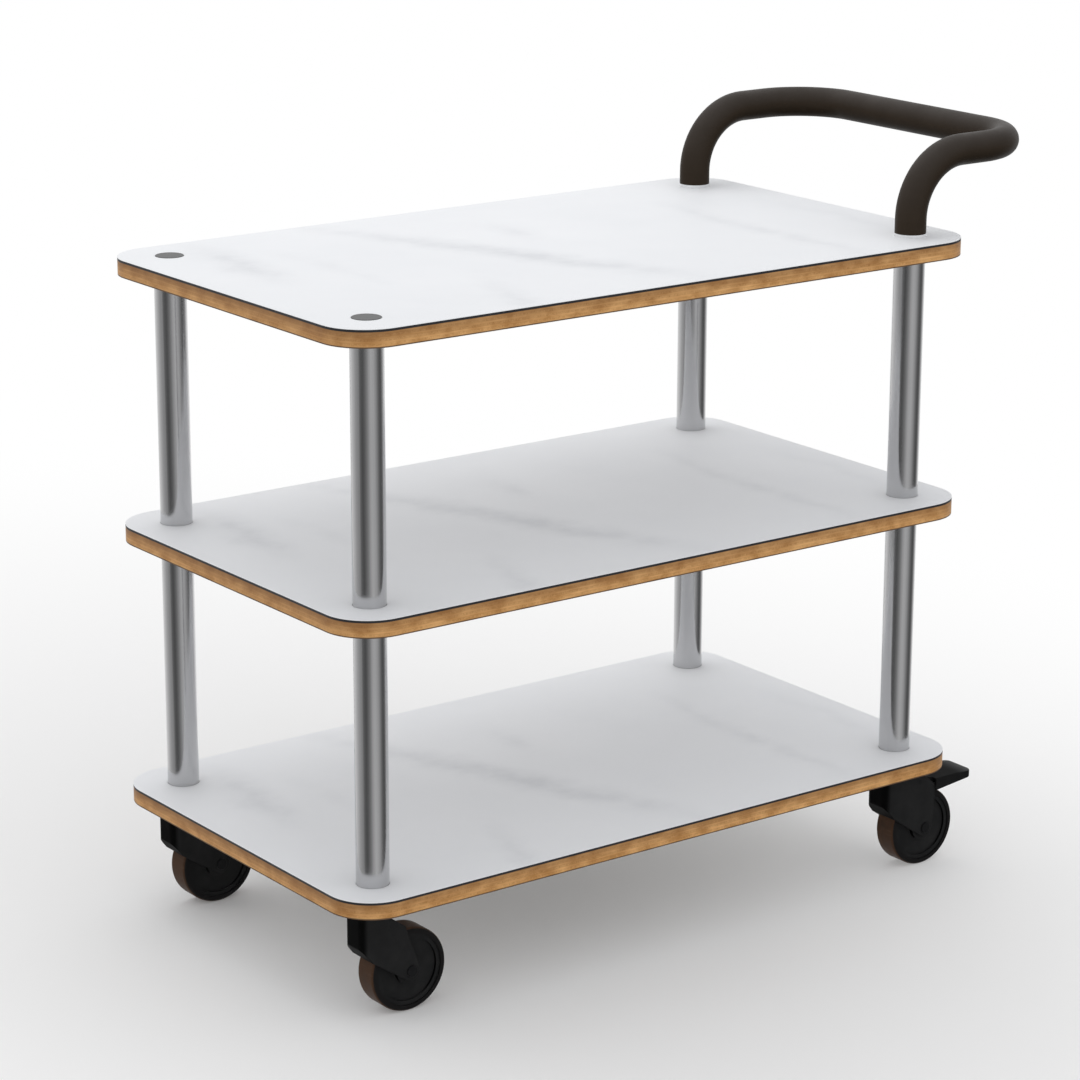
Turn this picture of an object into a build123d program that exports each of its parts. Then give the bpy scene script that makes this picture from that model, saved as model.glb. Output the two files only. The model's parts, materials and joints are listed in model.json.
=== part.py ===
from build123d import *
import math
import os

# Service cart with three shelves, four posts, a bent push handle and four swivel casters.
# Millimetres. X runs along the shelves to the handle end, Y across them, Z up from the floor.
# The origin lies on the floor, in the middle of the whole cart's length and width.
# Front is the end without the handle; left and right are those of the person at the handle.

# Shelves
shelf_length = 900
shelf_width = 530
shelf_corner_radius = 55
core_thickness = 17.5
backing_thickness = 2.7
laminate_thickness = 0.6
laminate_edge_chamfer = 0.3
lower_bay_height = 306
upper_bay_height = 300.5

# Posts
post_diameter = 38
post_wall = 1.5
post_inset = 59
post_edge_chamfer = 0.4

# Handle, measured on the centreline of its tube
handle_diameter = 38
handle_wall = 2
handle_rise = 96.5
handle_reach = 192
handle_upper_bend = 77
handle_corner_bend = 77
handle_ring_rise = 3.6

# Threaded fastenings inside the posts and the handle
thread_diameter = 12
thread_clearance = 0.1
thread_engagement = 22
plug_length = 28
plug_clearance = 0.05
shelf_hole_clearance = 0.5
tube_seat_clearance = 0.3

# Caps over the front posts
cap_diameter = 33.5
cap_proud = 0.6
cap_edge_chamfer = 0.4
bolt_head_diameter = 22
bolt_head_height = 7
bolt_head_clearance = 0.5
bolt_socket_flats = 8
bolt_socket_depth = 4

# Wheels
wheel_radius = 50
wheel_width = 32
tread_thickness = 7
tread_shoulder = 4
rim_thickness = 5
rim_side_step = 2
web_recess = 3
hub_radius = 17
wheel_trail = 38
axle_diameter = 8
axle_head_radius = 7
axle_head_height = 2
hub_bore_clearance = 2
wheel_bearing_diameter = 22
wheel_bearing_width = 7
running_clearance = 0.05

# Fork and hood
wheel_side_gap = 1
cheek_thickness = 4
wheel_arch_gap = 3
roof_thickness = 4
hood_front_reach = 27
hood_front_radius = 12
hood_front_drop = 46
apron_drop = 62
apron_setback = 12
hood_top_reach = 18
hood_rear_reach = 54
plain_top_reach = -8
plain_rear_reach = 30
turret_wall = 4
fork_boss_radius = 12
fork_corner_radius = 3
fork_edge_radius = 1.5

# Swivel head
stem_diameter = 12
stem_collar_diameter = 40
stem_collar_flats = 36
stem_collar_height = 4
stem_collar_gap = 0.5
stem_shoulder_radius = 8
swivel_bearing_diameter = 28
swivel_bearing_width = 12
swivel_bearing_recess = 1
swivel_play = 0.2
clip_diameter = 16
clip_thickness = 1.1
clip_groove_depth = 0.5
clip_groove_play = 0.05
stem_tail = 3
clip_recess_diameter = 20
clip_recess_depth = 6.5
hood_floor = 5

# Brake
pedal_press_angle = 8
pedal_pivot_rise = 13
pedal_pin_diameter = 6
pedal_nose_radius = 7.5
pedal_nose_gap = 0.5
pedal_side_gap = 0.7
pedal_slot_wall = 4
lever_front_height = 11
tongue_half_width = 24
tongue_tip_thickness = 8.5
tongue_root_thickness = 15.5
tongue_overhang = 25
tongue_cheek_overlap = 2
tongue_corner_radius = 9
tongue_edge_radius = 2
shoe_thickness = 3
shoe_half_width = 13
shoe_front_reach = 6
shoe_rear_reach = 21
shoe_tread_gap = 0.4
shoe_seat_gap = 0.05

# Worked-out heights, from the floor up
axle_height = wheel_radius
wheel_top = axle_height + wheel_radius
arch_radius = wheel_radius + wheel_arch_gap
swivel_bore_radius = swivel_bearing_diameter / 2 + plug_clearance
arch_behind_bore = math.sqrt(arch_radius**2 - (wheel_trail - swivel_bore_radius) ** 2)
clip_recess_bottom = axle_height + arch_behind_bore + hood_floor
bearing_seat = clip_recess_bottom + clip_recess_depth
bearing_top = bearing_seat + 2 * swivel_bearing_width
hood_top = bearing_top + swivel_bearing_recess
stem_collar_bottom = hood_top + stem_collar_gap
bottom_shelf_height = stem_collar_bottom + stem_collar_height
seat_depth = backing_thickness + laminate_thickness
shelf_thickness = core_thickness + seat_depth
middle_shelf_height = bottom_shelf_height + shelf_thickness + lower_bay_height
top_shelf_height = middle_shelf_height + shelf_thickness + upper_bay_height
top_core_face = top_shelf_height + core_thickness
top_surface = top_shelf_height + shelf_thickness
handle_foot = top_surface + handle_ring_rise
handle_height = top_surface + handle_rise
handle_bend_start = handle_height - handle_upper_bend

# Worked-out places along and across the cart
handle_overhang = handle_reach + handle_diameter / 2 - post_inset
shelf_center_x = -handle_overhang / 2
front_x = shelf_center_x - shelf_length / 2 + post_inset
rear_x = shelf_center_x + shelf_length / 2 - post_inset
side_y = shelf_width / 2 - post_inset

corners = {
    "front_left": (front_x, -side_y),
    "front_right": (front_x, side_y),
    "rear_left": (rear_x, -side_y),
    "rear_right": (rear_x, side_y),
}
front_corners = [place for name, place in corners.items() if name.startswith("front")]
rear_corners = [place for name, place in corners.items() if name.startswith("rear")]

# Worked-out sizes of the fork and the brake
fork_inner_half = wheel_width / 2 + wheel_side_gap
fork_outer_half = fork_inner_half + cheek_thickness
pedal_slot_front = swivel_bore_radius + pedal_slot_wall
pedal_pivot_x = pedal_slot_front + pedal_nose_gap + pedal_nose_radius
pedal_pivot_z = wheel_top + pedal_pivot_rise
lever_half_width = fork_inner_half - pedal_side_gap

upright = Align.CENTER, Align.CENTER, Align.MIN


def cylinder_up(diameter, bottom, top, place=(0, 0)):
    """Upright cylinder between two heights."""
    return Pos(place[0], place[1], bottom) * Cylinder(diameter / 2, top - bottom, align=upright)


def cylinder_across(radius, half_length, x, z):
    """Cylinder whose axis runs across the cart."""
    return Pos(x, 0, z) * Rot(90, 0, 0) * Cylinder(radius, 2 * half_length)


def extruded_across(outline, half_width):
    """Solid with a side outline, given as a closed wire in X and Z, and a width across the cart."""
    return extrude(Plane.XZ * make_face(outline), amount=half_width, both=True)


def tangent_point(point, center, radius, side):
    """Where a line from a point touches a circle; side is 1 or -1 for the two tangents."""
    across = center[0] - point[0]
    along = center[1] - point[1]
    distance = math.hypot(across, along)
    turn = math.atan2(along, across) + side * math.asin(radius / distance)
    reach = math.sqrt(distance**2 - radius**2)
    return point[0] + reach * math.cos(turn), point[1] + reach * math.sin(turn)


def group(solids):
    """Separate solids that share one node."""
    return Compound(children=[Part() + solid for solid in solids])


# Shelves

def sheet(bottom, thickness, holes):
    """Board with rounded corners, pierced by holes given as (place, diameter)."""
    outline = RectangleRounded(shelf_length, shelf_width, shelf_corner_radius)
    board = Pos(shelf_center_x, 0, bottom) * extrude(outline, amount=thickness)
    for place, diameter in holes:
        board -= cylinder_up(diameter, bottom, bottom + thickness, place)
    return board


def shelf_layers(bottom, seats, bolt_pockets):
    """Core, backing and laminate of one shelf, with seats for tubes or caps in its upper layers."""
    hole = thread_diameter + 2 * shelf_hole_clearance
    core = sheet(bottom, core_thickness, [(place, hole) for place in corners.values()])
    core_top = bottom + core_thickness
    pocket = bolt_head_diameter + 2 * bolt_head_clearance
    for place in bolt_pockets:
        core -= cylinder_up(pocket, core_top - bolt_head_height, core_top, place)
    backing = sheet(core_top, backing_thickness, seats)
    laminate = sheet(core_top + backing_thickness, laminate_thickness, seats)
    upper_rim = laminate.faces().sort_by(Axis.Z)[-1].outer_wire().edges()
    laminate = chamfer(upper_rim, laminate_edge_chamfer)
    return core, backing, laminate


# Posts and fastenings

def tube(bottom, top, place):
    """Post tube with lightly broken outer edges."""
    outer = cylinder_up(post_diameter, bottom, top, place)
    outer = chamfer(outer.edges().filter_by(GeomType.CIRCLE), post_edge_chamfer)
    return outer - cylinder_up(post_diameter - 2 * post_wall, bottom, top, place)


def plug(tube_bore, bottom, top, place):
    """Threaded plug that fills the end of a tube."""
    body = cylinder_up(tube_bore - 2 * plug_clearance, bottom, top, place)
    return body - cylinder_up(thread_diameter + 2 * thread_clearance, bottom, top, place)


def stud(core_bottom, place):
    """Stud through a shelf core into the tubes below and above it."""
    top = core_bottom + core_thickness + thread_engagement
    return cylinder_up(thread_diameter, core_bottom - thread_engagement, top, place)


def cap_bolt(place):
    """Bolt with a socket head, sunk in the top shelf's core above a front post."""
    head_bottom = top_core_face - bolt_head_height
    head = cylinder_up(bolt_head_diameter, head_bottom, top_core_face, place)
    socket = extrude(RegularPolygon(bolt_socket_flats / 2, 6, major_radius=False), -bolt_socket_depth)
    head -= Pos(place[0], place[1], top_core_face) * socket
    return head + cylinder_up(thread_diameter, top_shelf_height - thread_engagement, head_bottom, place)


def cap_disc(place):
    """Flat disc that closes the seat above a cap bolt."""
    disc = cylinder_up(cap_diameter, top_core_face, top_surface + cap_proud, place)
    return chamfer(disc.edges().sort_by(Axis.Z)[-1], cap_edge_chamfer)


# Handle

def handle_ring(place):
    """Spacer ring that stands on the top shelf's core and carries a leg of the handle."""
    hole = thread_diameter + 2 * shelf_hole_clearance
    ring = cylinder_up(handle_diameter, top_core_face, handle_foot, place)
    return ring - cylinder_up(hole, top_core_face, handle_foot, place)


def handle_bar(diameter):
    """Round bar along the handle's bent centreline, from leg to leg."""
    reach_x = rear_x + handle_reach
    path = FilletPolyline(
        (rear_x, -side_y, handle_foot),
        (rear_x, -side_y, handle_height),
        (reach_x, -side_y, handle_height),
        (reach_x, side_y, handle_height),
        (rear_x, side_y, handle_height),
        (rear_x, side_y, handle_foot),
        radius=[handle_upper_bend, handle_corner_bend, handle_corner_bend, handle_upper_bend],
    )
    section = Pos(rear_x, -side_y, handle_foot) * Circle(diameter / 2)
    return sweep(section, path)


# Casters, modelled about their own swivel axis at X 0, Y 0, trailing towards +X

def caster_stem():
    """Fixed spindle: thread above a collar with two flats, bearing shaft with a clip groove below."""
    collar = cylinder_up(stem_collar_diameter, stem_collar_bottom, bottom_shelf_height)
    flats = Box(stem_collar_diameter, stem_collar_flats, stem_collar_height, align=upright)
    collar &= Pos(0, 0, stem_collar_bottom) * flats
    thread_top = bottom_shelf_height + core_thickness + thread_engagement
    thread = cylinder_up(thread_diameter, bottom_shelf_height, thread_top)
    shoulder = cylinder_up(2 * stem_shoulder_radius, bearing_top + swivel_play, stem_collar_bottom)
    clip_bottom = bearing_seat - swivel_play - clip_thickness
    shaft = cylinder_up(stem_diameter, clip_bottom - stem_tail, bearing_top + swivel_play)
    groove_bottom = clip_bottom - clip_groove_play
    groove_top = bearing_seat - swivel_play + clip_groove_play
    groove = cylinder_up(clip_diameter, groove_bottom, groove_top)
    groove -= cylinder_up(stem_diameter - 2 * clip_groove_depth, groove_bottom, groove_top)
    return collar + thread + shoulder + (shaft - groove)


def swivel_clip():
    """Retaining ring in the stem's groove, open on one side."""
    clip_top = bearing_seat - swivel_play
    clip_bottom = clip_top - clip_thickness
    bore = stem_diameter - 2 * clip_groove_depth + 2 * clip_groove_play
    ring = cylinder_up(clip_diameter, clip_bottom, clip_top)
    ring -= cylinder_up(bore, clip_bottom, clip_top)
    opening = Box(clip_diameter, bore / 2, clip_thickness, align=(Align.MIN, Align.CENTER, Align.MIN))
    return ring - Pos(0, 0, clip_bottom) * opening


def bearing_ring(outer_diameter, shaft_diameter, bottom, top):
    """Sealed ball bearing, as one ring with a running fit on its shaft."""
    ring = cylinder_up(outer_diameter, bottom, top)
    return ring - cylinder_up(shaft_diameter + 2 * running_clearance, bottom, top)


def swivel_bearings():
    """Two bearings stacked in the hood's bore."""
    rings = []
    for index in range(2):
        bottom = bearing_seat + index * swivel_bearing_width
        top = bottom + swivel_bearing_width
        rings.append(bearing_ring(swivel_bearing_diameter, stem_diameter, bottom, top))
    return group(rings)


def fork_outline(top_reach, rear_reach):
    """Side outline of a fork: flat on top to one reach, sloping to another, then narrowing to the axle."""
    axle = (wheel_trail, axle_height)
    front_top = (-hood_front_reach, hood_top)
    front_low = (-hood_front_reach, hood_top - hood_front_drop)
    apron = (apron_setback - hood_front_reach, hood_top - apron_drop)
    rear_top = (top_reach, hood_top)
    roof_radius = arch_radius + roof_thickness
    rear_rise = math.sqrt(roof_radius**2 - (rear_reach - wheel_trail) ** 2)
    rear_low = (rear_reach, axle_height + rear_rise)
    boss_rear = tangent_point(rear_low, axle, fork_boss_radius, 1)
    boss_front = tangent_point(apron, axle, fork_boss_radius, -1)
    boss_bottom = (wheel_trail, axle_height - fork_boss_radius)
    upper = FilletPolyline(
        boss_front, apron, front_low, front_top, rear_top, rear_low, boss_rear, radius=fork_corner_radius
    )
    return upper + ThreePointArc(boss_rear, boss_bottom, boss_front)


def fork(braked):
    """Moulded fork: a braked one is open at the back for the lever, a plain one has a bearing turret."""
    if braked:
        outline = fork_outline(hood_top_reach, hood_rear_reach)
    else:
        outline = fork_outline(plain_top_reach, plain_rear_reach)
    body = extruded_across(outline, fork_outer_half)
    side_rims = body.faces().filter_by(Plane.XZ).edges()
    body = fillet(side_rims, fork_edge_radius)
    rear_end = wheel_trail + arch_radius
    plan = Rectangle(hood_front_reach + rear_end, 2 * fork_outer_half, align=(Align.MIN, Align.CENTER))
    plan = Pos(-hood_front_reach, 0) * plan
    plan = fillet(plan.vertices().group_by(Axis.X)[0], hood_front_radius)
    body &= extrude(plan, hood_top)
    if not braked:
        body += cylinder_up(2 * (swivel_bore_radius + turret_wall), clip_recess_bottom, hood_top)
    body -= cylinder_across(arch_radius, fork_inner_half, wheel_trail, axle_height)
    body -= cylinder_up(2 * swivel_bore_radius, bearing_seat, hood_top)
    body -= cylinder_up(clip_recess_diameter, clip_recess_bottom, bearing_seat)
    body -= cylinder_across(axle_diameter / 2 + running_clearance, fork_outer_half, wheel_trail, axle_height)
    if braked:
        slot_size = (rear_end - pedal_slot_front, 2 * fork_inner_half, hood_top - axle_height)
        slot = Box(*slot_size, align=(Align.MIN, Align.CENTER, Align.MIN))
        body -= Pos(pedal_slot_front, 0, axle_height) * slot
        pin_radius = pedal_pin_diameter / 2 + running_clearance
        body -= cylinder_across(pin_radius, fork_outer_half, pedal_pivot_x, pedal_pivot_z)
    return body


def axle():
    """Axle pin, riveted over at both ends."""
    pin = cylinder_across(axle_diameter / 2, fork_outer_half, wheel_trail, axle_height)
    for side in (-1, 1):
        head = Cylinder(axle_head_radius, axle_head_height, align=upright)
        head = fillet(head.edges().sort_by(Axis.Z)[-1], axle_head_height / 2)
        pin += Pos(wheel_trail, side * fork_outer_half, axle_height) * Rot(-90 * side, 0, 0) * head
    return pin


def on_axle(solid):
    """A solid modelled about Z, turned so that Z lies along the axle."""
    return Pos(wheel_trail, 0, axle_height) * Rot(-90, 0, 0) * solid


def wheel_core():
    """Moulded wheel: hub, recessed web and rim."""
    half = wheel_width / 2
    rim_outer = wheel_radius - tread_thickness
    rim_half = half - rim_side_step
    rim_inner = rim_outer - rim_thickness
    web_half = rim_half - web_recess
    core = cylinder_up(2 * rim_outer, -rim_half, rim_half)
    core += cylinder_up(2 * hub_radius, -half, half)
    for low, high in ((web_half, half), (-half, -web_half)):
        recess = cylinder_up(2 * rim_inner, low, high)
        core -= recess - cylinder_up(2 * hub_radius, low, high)
    core -= cylinder_up(axle_diameter + 2 * hub_bore_clearance, -half, half)
    pocket = wheel_bearing_diameter + 2 * plug_clearance
    core -= cylinder_up(pocket, half - wheel_bearing_width, half)
    core -= cylinder_up(pocket, -half, wheel_bearing_width - half)
    return on_axle(core)


def wheel_tread():
    """Tread band with rounded shoulders."""
    half = wheel_width / 2
    band = cylinder_up(2 * wheel_radius, -half, half)
    band = fillet(band.edges().filter_by(GeomType.CIRCLE), tread_shoulder)
    return on_axle(band - cylinder_up(2 * (wheel_radius - tread_thickness), -half, half))


def wheel_bearings():
    """Bearings in both ends of the hub."""
    half = wheel_width / 2
    rings = []
    for bottom in (-half, half - wheel_bearing_width):
        top = bottom + wheel_bearing_width
        rings.append(on_axle(bearing_ring(wheel_bearing_diameter, axle_diameter, bottom, top)))
    return group(rings)


# Brakes, on the casters at the handle end

def released(solid):
    """A solid modelled with the pedal pressed, turned back up to the pedal's rest."""
    pivot = Axis((pedal_pivot_x, 0, pedal_pivot_z), (0, 1, 0))
    return solid.rotate(pivot, -pedal_press_angle)


def pedal():
    """Lever on the pivot pin, widening over the cheeks' rear ends into a tongue for the foot."""
    tongue_front = hood_rear_reach - tongue_cheek_overlap
    tongue_tip = wheel_trail + wheel_radius + tongue_overhang
    tongue_top = pedal_pivot_z
    side = Polyline(
        (tongue_front, tongue_top),
        (tongue_tip, tongue_top),
        (tongue_tip, tongue_top - tongue_tip_thickness),
        (tongue_front, tongue_top - tongue_root_thickness),
        close=True,
    )
    tongue = extruded_across(side, tongue_half_width)
    corner_edges = tongue.edges().filter_by(Axis.Z)
    tongue = fillet(corner_edges.group_by(Axis.X)[-1], tongue_corner_radius)
    top_edges = tongue.faces().sort_by(Axis.Z)[-1].edges().sort_by(Axis.X)
    tongue = fillet(top_edges[1:], tongue_edge_radius)
    nose = cylinder_across(pedal_nose_radius, lever_half_width, pedal_pivot_x, pedal_pivot_z)
    lever_top = pedal_pivot_z + pedal_nose_radius
    lever_side = Polyline(
        (pedal_pivot_x, lever_top),
        (tongue_front, tongue_top),
        (tongue_front, tongue_top - tongue_root_thickness),
        (pedal_pivot_x, lever_top - lever_front_height),
        close=True,
    )
    body = tongue + nose + extruded_across(lever_side, lever_half_width)
    body -= cheek_room() + released(cheek_room())
    body -= released(shoe_blank(shoe_thickness + shoe_seat_gap, fork_inner_half))
    return body - cylinder_across(
        pedal_pin_diameter / 2 + running_clearance, lever_half_width, pedal_pivot_x, pedal_pivot_z
    )


def cheek_room():
    """Space beside the lever that the cheeks take up, with play all round."""
    outline = offset(make_face(fork_outline(hood_top_reach, hood_rear_reach)), pedal_side_gap)
    room = extrude(Plane.XZ * outline, amount=fork_outer_half + pedal_side_gap, both=True)
    return room - extrude(Plane.XZ * outline, amount=lever_half_width, both=True)


def shoe_blank(thickness, half_width):
    """Round space over the tread that the shoe takes up when the pedal is pressed."""
    radius = wheel_radius + shoe_tread_gap + thickness
    return cylinder_across(radius, half_width, wheel_trail, axle_height)


def brake_shoe():
    """Curved pad under the lever that meets the tread when the pedal is pressed."""
    pad = shoe_blank(shoe_thickness, shoe_half_width) - shoe_blank(0, shoe_half_width)
    length = shoe_rear_reach - shoe_front_reach
    span = Box(length, 2 * shoe_half_width, 2 * wheel_radius, align=(Align.MIN, Align.CENTER, Align.MIN))
    return released(pad & Pos(wheel_trail + shoe_front_reach, 0, axle_height) * span)


def pedal_pin():
    """Pin through both cheeks and the pedal's nose."""
    return cylinder_across(pedal_pin_diameter / 2, fork_outer_half, pedal_pivot_x, pedal_pivot_z)


# The whole cart, node by node

def cart():
    """Every node of the cart by name."""
    nodes = {}
    post_seat = post_diameter + 2 * tube_seat_clearance
    cap_seat = cap_diameter + 2 * tube_seat_clearance
    leg_seat = handle_diameter + 2 * tube_seat_clearance
    post_seats = [(place, post_seat) for place in corners.values()]
    top_seats = [(place, cap_seat) for place in front_corners]
    top_seats += [(place, leg_seat) for place in rear_corners]
    shelves = {
        "bottom": (bottom_shelf_height, post_seats, []),
        "middle": (middle_shelf_height, post_seats, []),
        "top": (top_shelf_height, top_seats, front_corners),
    }
    for name, (height, seats, bolt_pockets) in shelves.items():
        core, backing, laminate = shelf_layers(height, seats, bolt_pockets)
        nodes[f"{name}_shelf_core"] = core
        nodes[f"{name}_shelf_backing"] = backing
        nodes[f"{name}_shelf_laminate"] = laminate

    post_spans = {
        "lower": (bottom_shelf_height + core_thickness, middle_shelf_height),
        "upper": (middle_shelf_height + core_thickness, top_shelf_height),
    }
    post_bore = post_diameter - 2 * post_wall
    plugs = []
    for name, (bottom, top) in post_spans.items():
        for corner, place in corners.items():
            nodes[f"{name}_post_{corner}"] = tube(bottom, top, place)
            plugs.append(plug(post_bore, bottom, bottom + plug_length, place))
            plugs.append(plug(post_bore, top - plug_length, top, place))
    nodes["post_plugs"] = group(plugs)

    studs = [stud(middle_shelf_height, place) for place in corners.values()]
    studs += [stud(top_shelf_height, place) for place in rear_corners]
    nodes["joining_studs"] = group(studs)
    nodes["cap_bolts"] = group([cap_bolt(place) for place in front_corners])
    nodes["cap_discs"] = group([cap_disc(place) for place in front_corners])

    handle_bore = handle_diameter - 2 * handle_wall
    nodes["handle_tube"] = handle_bar(handle_diameter) - handle_bar(handle_bore)
    nodes["handle_rings"] = group([handle_ring(place) for place in rear_corners])
    leg_plugs = [plug(handle_bore, handle_foot, handle_bend_start, place) for place in rear_corners]
    nodes["handle_plugs"] = group(leg_plugs)

    clips = []
    for corner, (x, y) in corners.items():
        place = Pos(x, y, 0)
        braked = (x, y) in rear_corners
        nodes[f"caster_stem_{corner}"] = place * caster_stem()
        clips.append(place * swivel_clip())
        nodes[f"swivel_bearings_{corner}"] = place * swivel_bearings()
        nodes[f"fork_{corner}"] = place * fork(braked)
        nodes[f"axle_{corner}"] = place * axle()
        nodes[f"wheel_core_{corner}"] = place * wheel_core()
        nodes[f"wheel_tread_{corner}"] = place * wheel_tread()
        nodes[f"wheel_bearings_{corner}"] = place * wheel_bearings()
        if braked:
            nodes[f"brake_pedal_{corner}"] = place * pedal()
            nodes[f"brake_shoe_{corner}"] = place * brake_shoe()
            nodes[f"pedal_pin_{corner}"] = place * pedal_pin()
    nodes["swivel_clips"] = group(clips)
    return nodes


os.makedirs("parts", exist_ok=True)
for node, shape in cart().items():
    export_step(shape, f"parts/{node}.step")
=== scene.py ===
import json
import math

import bpy
from mathutils import Matrix, Vector


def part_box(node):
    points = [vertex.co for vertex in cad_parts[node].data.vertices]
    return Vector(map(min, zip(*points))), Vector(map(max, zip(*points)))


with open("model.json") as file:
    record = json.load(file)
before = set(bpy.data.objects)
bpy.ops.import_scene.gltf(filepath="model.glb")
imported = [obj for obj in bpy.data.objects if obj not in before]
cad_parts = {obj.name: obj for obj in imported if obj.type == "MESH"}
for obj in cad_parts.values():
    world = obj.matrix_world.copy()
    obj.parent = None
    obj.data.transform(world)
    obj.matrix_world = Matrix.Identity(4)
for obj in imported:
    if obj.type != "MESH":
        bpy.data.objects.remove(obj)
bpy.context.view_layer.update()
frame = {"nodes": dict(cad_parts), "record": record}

# Looks, light and camera for the service cart. Metres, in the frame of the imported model.
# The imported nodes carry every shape, so each of them only gets a procedural finish here.

nodes = frame["nodes"]

# Photograph's camera
camera_place = (-2.5083, -3.2846, 1.6155)
camera_heading = math.radians(-36.442)
camera_dip = math.radians(15.973)
camera_roll = math.radians(0.153)
camera_lens = 117.3
camera_sensor = 36

# Shelf board
shelf_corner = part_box("top_shelf_laminate")[0]
ply_count = 7

# Brake pedals
pedal_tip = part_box("brake_pedal_rear_left")[1].x
# Reach of the painted sheen back from the pedal's tip
pedal_sheen_reach = 0.028

# Veins of the marble pattern: half width, then points from the shelf's front left corner
# with the depth of tone at each
veins = [
    (0.020, [
        (0.275, 0.530, 0.15), (0.318, 0.425, 0.5), (0.342, 0.370, 0.7), (0.372, 0.296, 0.8),
        (0.385, 0.258, 1.0), (0.402, 0.210, 0.9), (0.448, 0.107, 0.7), (0.470, 0.060, 0.35),
        (0.486, 0.010, 0.15),
    ]),
    (0.018, [(0.484, 0.410, 0.05), (0.470, 0.350, 0.5), (0.456, 0.310, 0.1)]),
    (0.014, [
        (0.738, 0.400, 0.1), (0.724, 0.330, 0.3), (0.718, 0.200, 0.45), (0.722, 0.090, 0.4),
        (0.730, 0.010, 0.15),
    ]),
    (0.022, [(0.106, 0.490, 0.3), (0.102, 0.420, 0.7), (0.094, 0.350, 0.75), (0.086, 0.270, 0.15)]),
    (0.014, [(0.276, 0.150, 0.15), (0.256, 0.075, 0.35), (0.242, 0.020, 0.65)]),
    (0.012, [(0.168, 0.400, 0.1), (0.180, 0.310, 0.25), (0.172, 0.200, 0.1)]),
    (0.012, [(0.840, 0.340, 0.05), (0.862, 0.200, 0.25), (0.850, 0.060, 0.05)]),
]
vein_core_share = 0.25
vein_halo_spread = 2.2
vein_wander = 0.045


# Shader helpers

def put(tree, kind, inputs=None, **settings):
    """A node in a tree, with its inputs set to values or linked to sockets."""
    node = tree.nodes.new(kind)
    for key, value in settings.items():
        setattr(node, key, value)
    for key, value in (inputs or {}).items():
        if isinstance(value, bpy.types.NodeSocket):
            tree.links.new(value, node.inputs[key])
        else:
            node.inputs[key].default_value = value
    return node


def reckon(tree, operation, first, second=0.0, clamp=False):
    """A sum, product or other figure of two values."""
    return put(tree, "ShaderNodeMath", {0: first, 1: second}, operation=operation, use_clamp=clamp).outputs[0]


def times(tree, first, second):
    """Product of two values."""
    return reckon(tree, "MULTIPLY", first, second)


def combine(tree, operation, first, second):
    """A sum, product or other figure of two vectors."""
    return put(tree, "ShaderNodeVectorMath", {0: first, 1: second}, operation=operation).outputs["Vector"]


def measure(tree, operation, first, second=(0, 0, 0)):
    """The length of a vector, or the distance or dot product of two."""
    return put(tree, "ShaderNodeVectorMath", {0: first, 1: second}, operation=operation).outputs["Value"]


def part_of(tree, vector, axis):
    """A vector's X, Y or Z."""
    return put(tree, "ShaderNodeSeparateXYZ", {0: vector}).outputs[axis]


def stretch(tree, vector, scale, shift=(0, 0, 0)):
    """A vector scaled along each axis, after a shift."""
    return combine(tree, "MULTIPLY", combine(tree, "ADD", vector, shift), scale)


def rescale(tree, value, span, onto=(0.0, 1.0), smooth=False):
    """A value stretched from one span onto another, and held at its ends."""
    ends = {"Value": value, "From Min": span[0], "From Max": span[1], "To Min": onto[0], "To Max": onto[1]}
    kind = "SMOOTHSTEP" if smooth else "LINEAR"
    return put(tree, "ShaderNodeMapRange", ends, interpolation_type=kind).outputs["Result"]


def vary(tree, texture, low=0.0, high=1.0):
    """Noise, which keeps mostly between 0.3 and 0.7, stretched to run from low to high."""
    return rescale(tree, texture, (0.3, 0.7), (low, high))


def mix(tree, share, first, second):
    """A colour between two others."""
    return put(tree, "ShaderNodeMix", {0: share, 6: first, 7: second}, data_type="RGBA").outputs[2]


def noise(tree, vector, scale=1.0, detail=2.0, roughness=0.5, output="Fac"):
    """Noise from 0 to 1."""
    inputs = {"Vector": vector, "Scale": scale, "Detail": detail, "Roughness": roughness}
    return put(tree, "ShaderNodeTexNoise", inputs).outputs[output]


def place_of(tree):
    """Point on the piece, in the frame's metres at rest."""
    return put(tree, "ShaderNodeTexCoord").outputs["Object"]


def facing_of(tree, axis):
    """How far the surface faces along an axis of the frame at rest, from -1 to 1."""
    return part_of(tree, put(tree, "ShaderNodeTexCoord").outputs["Normal"], axis)


def bump(tree, height, depth):
    """Fine relief with a depth in metres."""
    inputs = {"Height": height, "Distance": depth, "Strength": 1.0}
    return put(tree, "ShaderNodeBump", inputs).outputs["Normal"]


def grey(level):
    """An opaque grey."""
    return level, level, level, 1.0


# Finishes: each function gives the inputs of the principled shader

marble_shade = (0.920, 0.921, 0.927, 1)
marble_light = (0.957, 0.955, 0.958, 1)
vein_grey = (0.775, 0.778, 0.790, 1)


def vein_depth(tree, point, start, end, half_width):
    """How deep in tone a point lies in a straight run of vein, 0 beyond its halo."""
    run = Vector((end[0] - start[0], end[1] - start[1], 0))
    offset = combine(tree, "SUBTRACT", point, (start[0], start[1], 0))
    along = measure(tree, "DOT_PRODUCT", offset, run / run.length_squared)
    share = reckon(tree, "ADD", along, clamp=True)
    nearest = put(tree, "ShaderNodeVectorMath", {0: run, "Scale": share}, operation="SCALE").outputs["Vector"]
    gap = measure(tree, "DISTANCE", offset, nearest)
    core = rescale(tree, gap, (0, half_width), (vein_core_share, 0), smooth=True)
    halo = rescale(tree, gap, (0, vein_halo_spread * half_width), (1 - vein_core_share, 0), smooth=True)
    depth = rescale(tree, share, (0, 1), (start[2], end[2]))
    return times(tree, reckon(tree, "ADD", core, halo), depth)


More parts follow.
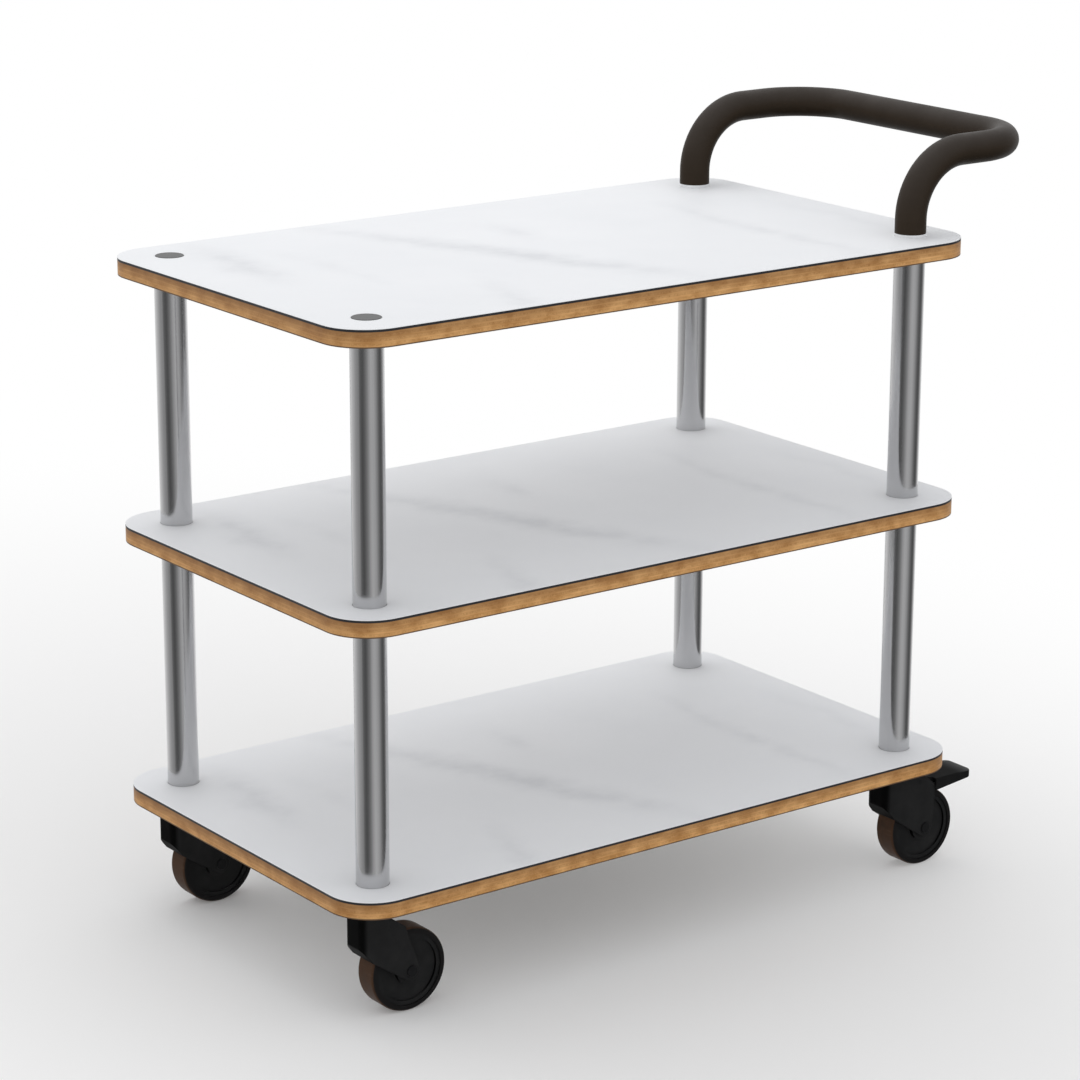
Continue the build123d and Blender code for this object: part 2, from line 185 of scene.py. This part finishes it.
def marble_laminate(tree):
    """White satin laminate printed with faint grey veins, the same on every shelf."""
    place = stretch(tree, place_of(tree), (1, 1, 0), (-shelf_corner.x, -shelf_corner.y, 0))
    wander = noise(tree, place, scale=16, detail=4, roughness=0.62, output="Color")
    wander = stretch(tree, wander, (vein_wander, vein_wander, 0), (-0.5, -0.5, 0))
    point = combine(tree, "ADD", place, wander)
    depth = None
    for half_width, points in veins:
        for start, end in zip(points, points[1:]):
            run = vein_depth(tree, point, start, end, half_width)
            depth = run if depth is None else reckon(tree, "MAXIMUM", depth, run)
    patches = noise(tree, place, scale=24, detail=3, roughness=0.6)
    depth = times(tree, depth, rescale(tree, patches, (0.3, 0.62), (0.4, 1)))
    clouds = noise(tree, place, scale=4.5, detail=4, roughness=0.6)
    ground = mix(tree, vary(tree, clouds), marble_shade, marble_light)
    return {
        "Base Color": mix(tree, depth, ground, vein_grey),
        "Roughness": vary(tree, noise(tree, place, scale=30, detail=3), 0.56, 0.64),
        "Specular IOR Level": 0.4,
        "Normal": bump(tree, noise(tree, place, scale=900), depth=0.00001),
    }


backing_dark = (0.014, 0.014, 0.017, 1)
backing_light = (0.030, 0.029, 0.033, 1)


def dark_backing(tree):
    """Dense dark resin layer under the laminate."""
    fibres = noise(tree, stretch(tree, place_of(tree), (90, 90, 900)), detail=3)
    return {
        "Base Color": mix(tree, fibres, backing_dark, backing_light),
        "Roughness": vary(tree, fibres, 0.5, 0.65),
        "Normal": bump(tree, fibres, depth=0.00003),
    }


ply_dark = (0.544, 0.258, 0.075, 1)
ply_light = (0.938, 0.524, 0.204, 1)
ply_end_grain = (0.38, 0.185, 0.06, 1)
ply_glue = (0.22, 0.10, 0.035, 1)
ply_darkening_tone = (0.17, 0.075, 0.03, 1)
ply_lower_line = (0.03, 0.028, 0.03, 1)
wash_shade = (0.66, 0.655, 0.65, 1)
wash_light = (0.75, 0.747, 0.745, 1)
wash_pores = (0.54, 0.51, 0.48, 1)

# Shares of those tones, and heights of the dark line as shares of the board
grain_share = 0.4
pores_share = 0.35
end_grain_share = 0.18
glue_share = 0.25
glue_reach = 0.09
# Darkening towards the top of the edge, and painted shade on the end faces
upper_darkening_share = 0.55
end_shade_share = 0.2
lower_line_share = 0.8
lower_line_core = 0.07
lower_line_top = 0.1


def ply_edge(tree, height, crossing, seam, tone):
    """Lacquered edge: plies, glue lines, darker towards the top, painted shade on the end faces, a dark line
    at the foot.
    """
    edge = mix(tree, rescale(tree, tone, (0.36, 0.64)), ply_dark, ply_light)
    edge = mix(tree, times(tree, crossing, end_grain_share), edge, ply_end_grain)
    edge = mix(tree, times(tree, seam, glue_share), edge, ply_glue)
    # Painted shade on the end faces, added to a darkening towards the top of the edge
    on_end = reckon(tree, "ABSOLUTE", facing_of(tree, "X"))
    rising = rescale(tree, height, (lower_line_top, 1), (0, upper_darkening_share))
    end_shade_and_upper_darkening = reckon(tree, "ADD", rising, times(tree, on_end, end_shade_share))
    edge = mix(tree, end_shade_and_upper_darkening, edge, ply_darkening_tone)
    lower_line = rescale(tree, height, (lower_line_core, lower_line_top), (lower_line_share, 0))
    return mix(tree, lower_line, edge, ply_lower_line)


def plywood(tree):
    """Plywood: lacquered plies on the edges, faces sealed with a pale grey wash over the grain."""
    place = place_of(tree)
    height = part_of(tree, put(tree, "ShaderNodeTexCoord").outputs["Generated"], "Z")
    layer = times(tree, height, ply_count)
    crossing = reckon(tree, "FLOORED_MODULO", reckon(tree, "FLOOR", layer), 2.0)
    seam = rescale(tree, reckon(tree, "PINGPONG", layer, 0.5), (0, glue_reach), (1, 0))
    long_grain = noise(tree, stretch(tree, place, (22, 22, 900)), detail=4, roughness=0.65)
    end_grain = noise(tree, stretch(tree, place, (700, 700, 500)))
    grain = times(tree, crossing, reckon(tree, "SUBTRACT", end_grain, long_grain))
    grain = reckon(tree, "ADD", grain, long_grain)
    blotches = noise(tree, stretch(tree, place, (46, 46, 80)))
    tone = reckon(tree, "ADD", times(tree, grain, grain_share), times(tree, blotches, 1 - grain_share))
    edge = ply_edge(tree, height, crossing, seam, tone)
    figure = noise(tree, stretch(tree, place, (2.2, 26, 1)), detail=5, roughness=0.6)
    pores = noise(tree, stretch(tree, place, (40, 1100, 1)))
    face = mix(tree, rescale(tree, figure, (0.35, 0.65)), wash_shade, wash_light)
    face = mix(tree, rescale(tree, pores, (0.58, 0.72), (0, pores_share)), face, wash_pores)
    on_face = reckon(tree, "GREATER_THAN", reckon(tree, "ABSOLUTE", facing_of(tree, "Z")), 0.5)
    return {
        "Base Color": mix(tree, on_face, edge, face),
        "Roughness": vary(tree, tone, 0.42, 0.56),
        "Specular IOR Level": 0.2,
        "Normal": bump(tree, mix(tree, on_face, grain, pores), depth=0.00005),
    }


steel_tint = (1.0, 1.0, 1.015)
steel_tones = (0.93, 1.05)
steel_roughness = (0.8, 1.25)
streak_share = 0.6


def bare_steel(level, rough, streak_scale, relief):
    """Finish of bare steel with fine streaks; streak_scale sets how tightly they lie along each axis."""
    low, high = (tuple(tone * level * part for part in steel_tint) + (1.0,) for tone in steel_tones)
    smooth, coarse = (share * rough for share in steel_roughness)

    def paint(tree):
        place = place_of(tree)
        streaks = noise(tree, stretch(tree, place, streak_scale), detail=3, roughness=0.6)
        smudges = times(tree, noise(tree, place, scale=14, detail=3), 1 - streak_share)
        shine = reckon(tree, "ADD", times(tree, streaks, streak_share), smudges)
        return {
            "Base Color": mix(tree, vary(tree, shine), low, high),
            "Metallic": 1.0,
            "Roughness": vary(tree, shine, smooth, coarse),
            "Normal": bump(tree, streaks, relief),
        }
    return paint


cap_dark = grey(0.130)
cap_light = grey(0.162)


def cap_metal(tree):
    """Brushed metal of the cap discs, dulled by a thin grey lacquer."""
    streaks = noise(tree, stretch(tree, place_of(tree), (60, 900, 60)), detail=3, roughness=0.6)
    return {
        "Base Color": mix(tree, vary(tree, streaks), cap_dark, cap_light),
        "Metallic": 0.5,
        "Roughness": vary(tree, streaks, 0.32, 0.44),
        "Specular IOR Level": 0.1,
        "Specular Tint": grey(0.7),
        "Normal": bump(tree, streaks, depth=0.00001),
    }


bronze = (0.0375, 0.0270, 0.0185, 1)
# Painted highlight for faces turned up, and painted shade for faces turned down
bronze_painted_highlight = (0.072, 0.062, 0.055, 1)
bronze_painted_shade = (0.013, 0.0080, 0.0035, 1)
bronze_mottle = (0.020, 0.014, 0.009, 1)
mottle_share = 0.25


def dark_handle(tree):
    """Dark bronze satin coat on the handle's tube, with a painted highlight on its upper side and painted
    shade underneath.
    """
    place = place_of(tree)
    upward = facing_of(tree, "Z")
    tone = noise(tree, place, scale=22, detail=4, roughness=0.6)
    # Painted highlight on faces turned up, painted shade on faces turned down
    coat = mix(tree, rescale(tree, upward, (0, 1)), bronze, bronze_painted_highlight)
    coat = mix(tree, rescale(tree, upward, (0, -0.6)), coat, bronze_painted_shade)
    return {
        "Base Color": mix(tree, vary(tree, tone, 0, mottle_share), coat, bronze_mottle),
        "Roughness": vary(tree, tone, 0.36, 0.48),
        "Specular IOR Level": 0.05,
        "Normal": bump(tree, noise(tree, place, scale=650), depth=0.00002),
    }


ring_shade = grey(0.80)
ring_light = grey(0.88)


def pale_plastic(tree):
    """Pale moulded plastic of the spacer rings under the handle's legs."""
    place = place_of(tree)
    tone = noise(tree, place, scale=60, detail=3, roughness=0.6)
    return {
        "Base Color": mix(tree, vary(tree, tone), ring_shade, ring_light),
        "Roughness": vary(tree, tone, 0.45, 0.6),
        "Specular IOR Level": 0.3,
        "Normal": bump(tree, noise(tree, place, scale=900), depth=0.00001),
    }


def moulded_black(tree, colour, tone):
    """Shader inputs of black moulded plastic with a fine eroded texture."""
    return {
        "Base Color": colour,
        "Roughness": vary(tree, tone, 0.5, 0.62),
        "Specular IOR Level": 0.015,
        "Normal": bump(tree, noise(tree, place_of(tree), scale=1500), depth=0.00004),
    }


moulding_dark = grey(0.0185)
moulding_light = grey(0.0235)
# Painted shade for faces turned to -X, such as a hood's front
moulding_painted_shade = grey(0.002)
front_shade_share = 0.92
dust_share = 0.04
dust_heights = (0.02, 0.11)
dust_tone = (0.12, 0.11, 0.1, 1)


def black_moulding(tree):
    """Black plastic of the forks and wheels, with painted shade on faces turned to -X such as a hood's front,
    and dusty near the floor.
    """
    place = place_of(tree)
    tone = noise(tree, place, scale=35, detail=4, roughness=0.6)
    # Painted shade on faces turned to -X, such as a hood's front
    front_shade = rescale(tree, facing_of(tree, "X"), (-0.35, -0.8), smooth=True)
    near_floor = rescale(tree, part_of(tree, place, "Z"), dust_heights, (1, 0))
    dust = times(tree, near_floor, rescale(tree, tone, (0.45, 0.7)))
    colour = mix(tree, vary(tree, tone), moulding_dark, moulding_light)
    colour = mix(tree, times(tree, front_shade, front_shade_share), colour, moulding_painted_shade)
    colour = mix(tree, times(tree, dust, dust_share), colour, dust_tone)
    return moulded_black(tree, colour, tone)


pedal_dark = grey(0.012)
pedal_light = grey(0.016)
# Painted sheen on top of the pedal's tip
pedal_painted_sheen = grey(0.13)


def pedal_moulding(tree):
    """Black plastic of the brake pedals, with a painted sheen on top of the tip."""
    place = place_of(tree)
    tone = noise(tree, place, scale=35, detail=4, roughness=0.6)
    # Painted sheen on upward faces near the tip, fading back from it
    painted_sheen = rescale(tree, part_of(tree, place, "X"), (pedal_tip - pedal_sheen_reach, pedal_tip))
    painted_sheen = times(tree, reckon(tree, "POWER", painted_sheen, 2.0), rescale(tree, facing_of(tree, "Z"), (0.5, 0.8)))
    colour = mix(tree, vary(tree, tone), pedal_dark, pedal_light)
    return moulded_black(tree, mix(tree, painted_sheen, colour, pedal_painted_sheen), tone)


tread_dark = (0.051, 0.0245, 0.0120, 1)
tread_light = (0.078, 0.0385, 0.0200, 1)
tread_scuff = (0.12, 0.075, 0.05, 1)
tread_side = (0.010, 0.009, 0.009, 1)
scuff_share = 0.3


def brown_tread(tree):
    """Dark brown cast tread with faint scuffs and black sides."""
    place = place_of(tree)
    where = put(tree, "ShaderNodeTexCoord").outputs
    tone = noise(tree, place, scale=60, detail=4, roughness=0.65)
    scuffs = noise(tree, stretch(tree, place, (420, 40, 420)), detail=3)
    colour = mix(tree, vary(tree, tone), tread_dark, tread_light)
    colour = mix(tree, rescale(tree, scuffs, (0.6, 0.75), (0, scuff_share)), colour, tread_scuff)
    spoke = stretch(tree, where["Generated"], (1, 0, 1), (-0.5, 0, -0.5))
    spoke = put(tree, "ShaderNodeVectorMath", {0: spoke}, operation="NORMALIZE").outputs["Vector"]
    outward = measure(tree, "DOT_PRODUCT", spoke, where["Normal"])
    on_side = rescale(tree, outward, (0.88, 0.52), smooth=True)
    return {
        "Base Color": mix(tree, on_side, colour, tread_side),
        "Roughness": vary(tree, tone, 0.55, 0.7),
        "Specular IOR Level": 0.15,
        "Normal": bump(tree, scuffs, depth=0.00005),
    }


plated_dark = (0.009, 0.009, 0.0095, 1)
plated_light = (0.016, 0.016, 0.0165, 1)


def black_steel(tree):
    """Black plated steel of the axle heads and pedal pins."""
    tone = noise(tree, place_of(tree), scale=160, detail=3, roughness=0.6)
    return {
        "Base Color": mix(tree, tone, plated_dark, plated_light),
        "Roughness": vary(tree, tone, 0.42, 0.58),
        "Specular IOR Level": 0.08,
        "Normal": bump(tree, tone, depth=0.00002),
    }


finishes = {
    "marble_laminate": marble_laminate,
    "dark_backing": dark_backing,
    "plywood": plywood,
    "post_steel": bare_steel(level=0.60, rough=0.16, streak_scale=(700, 700, 5), relief=0.000004),
    "cap_metal": cap_metal,
    "zinc_steel": bare_steel(level=0.52, rough=0.36, streak_scale=(220, 220, 220), relief=0.00002),
    "bearing_steel": bare_steel(level=0.48, rough=0.24, streak_scale=(500, 500, 500), relief=0.000008),
    "black_steel": black_steel,
    "dark_handle": dark_handle,
    "pale_plastic": pale_plastic,
    "black_moulding": black_moulding,
    "brown_tread": brown_tread,
    "pedal_moulding": pedal_moulding,
}


def finish_with(name, paint):
    """A material whose principled shader is set by a function of its node tree."""
    material = bpy.data.materials.new(name)
    material.use_nodes = True
    tree = material.node_tree
    tree.nodes.clear()
    shader = put(tree, "ShaderNodeBsdfPrincipled", paint(tree))
    put(tree, "ShaderNodeOutputMaterial", {"Surface": shader.outputs["BSDF"]})
    return material


materials = {slot: finish_with(slot, paint) for slot, paint in finishes.items()}
for subpart in frame["record"]["subparts"]:
    is_pedal = subpart["node"].startswith("brake_pedal")
    slot = "pedal_moulding" if is_pedal else subpart["material_slot"]
    mesh = nodes[subpart["node"]].data
    mesh.materials.clear()
    mesh.materials.append(materials[slot])


# Floor

floor_reach = 14
floor_tone = (0.915, 0.90, 0.88, 1)
fade_end = 1.63
fade_center = (-0.15, 0.12, 0)
fade_squash = (1, 0.69, 1)


def floor_finish():
    """Pale matte floor that turns pure white away from the cart, and is clear from below."""
    material = bpy.data.materials.new("floor")
    material.use_nodes = True
    tree = material.node_tree
    tree.nodes.clear()
    spot = combine(tree, "MULTIPLY", combine(tree, "SUBTRACT", place_of(tree), fade_center), fade_squash)
    fade = rescale(tree, measure(tree, "LENGTH", spot), (0, fade_end), smooth=True)
    fade = times(tree, fade, put(tree, "ShaderNodeLightPath").outputs["Is Camera Ray"])
    matte = put(tree, "ShaderNodeBsdfDiffuse", {"Color": floor_tone})
    glow = put(tree, "ShaderNodeEmission", {"Color": grey(1.0), "Strength": 1.0})
    lit = put(tree, "ShaderNodeMixShader", {0: fade, 1: matte.outputs[0], 2: glow.outputs[0]})
    clear = put(tree, "ShaderNodeBsdfTransparent")
    behind = put(tree, "ShaderNodeNewGeometry").outputs["Backfacing"]
    seen = put(tree, "ShaderNodeMixShader", {0: behind, 1: lit.outputs[0], 2: clear.outputs[0]})
    put(tree, "ShaderNodeOutputMaterial", {"Surface": seen.outputs[0]})
    return material


floor_mesh = bpy.data.meshes.new("floor")
floor_corners = [(x * floor_reach, y * floor_reach, 0) for x, y in ((-1, -1), (1, -1), (1, 1), (-1, 1))]
floor_mesh.from_pydata(floor_corners, [], [(0, 1, 2, 3)])
floor_mesh.materials.append(floor_finish())
floor = bpy.data.objects.new("floor", floor_mesh)
bpy.context.scene.collection.objects.link(floor)
floor.visible_glossy = False


# Light

dome_tone = (0.775, 0.79, 0.815, 1)
lamp_size = 2.6
lamp_power = 14
lamp_place = (0.1, 1.3, 2.9)

# Brightness of the studio round the cart as bare metal shows it, by turn from the -X direction
studio_walls = [
    (0.01, 0.18), (0.05, 0.10), (0.085, 0.10), (0.149, 0.27), (0.20, 0.54), (0.245, 0.58),
    (0.31, 0.42), (0.36, 0.18), (0.41, 0.09), (0.45, 0.13), (0.49, 0.45), (0.54, 0.95),
    (0.60, 1.0), (0.70, 1.0), (0.80, 0.8), (0.87, 0.58), (0.954, 0.33),
]


def studio_sky():
    """White to the camera, an even dome to matte surfaces, and the studio's walls to shiny ones."""
    world = bpy.data.worlds.new("studio")
    world.use_nodes = True
    tree = world.node_tree
    tree.nodes.clear()
    heading = put(tree, "ShaderNodeTexCoord").outputs["Generated"]
    turn = reckon(tree, "ARCTAN2", part_of(tree, heading, "Y"), part_of(tree, heading, "X"))
    ramp = put(tree, "ShaderNodeValToRGB", {"Fac": rescale(tree, turn, (-math.pi, math.pi))})
    stops = ramp.color_ramp.elements
    ramp.color_ramp.interpolation = "B_SPLINE"
    while len(stops) < len(studio_walls):
        stops.new(0.5)
    for stop, (position, level) in zip(stops, studio_walls):
        stop.position = position
        stop.color = grey(level)
    path = put(tree, "ShaderNodeLightPath").outputs
    shiny = reckon(tree, "MAXIMUM", path["Is Glossy Ray"], path["Is Transmission Ray"])
    colour = mix(tree, shiny, dome_tone, ramp.outputs["Color"])
    colour = mix(tree, path["Is Camera Ray"], colour, grey(1.0))
    sky = put(tree, "ShaderNodeBackground", {"Color": colour, "Strength": 1.0})
    put(tree, "ShaderNodeOutputWorld", {"Surface": sky.outputs[0]})
    return world


bpy.context.scene.world = studio_sky()

lamp_data = bpy.data.lights.new("overhead_softbox", "AREA")
lamp_data.shape = "SQUARE"
lamp_data.size = lamp_size
lamp_data.energy = lamp_power
lamp = bpy.data.objects.new("overhead_softbox", lamp_data)
lamp.location = lamp_place
bpy.context.scene.collection.objects.link(lamp)


# Camera

camera_data = bpy.data.cameras.new("camera")
camera_data.lens = camera_lens
camera_data.sensor_width = camera_sensor
camera = bpy.data.objects.new("camera", camera_data)
turn_to = Matrix.Rotation(camera_heading, 4, "Z") @ Matrix.Rotation(math.pi / 2 - camera_dip, 4, "X")
camera.matrix_world = Matrix.Translation(camera_place) @ turn_to @ Matrix.Rotation(camera_roll, 4, "Z")
bpy.context.scene.collection.objects.link(camera)
bpy.context.scene.camera = camera
bpy.context.scene.view_settings.view_transform = "Standard"
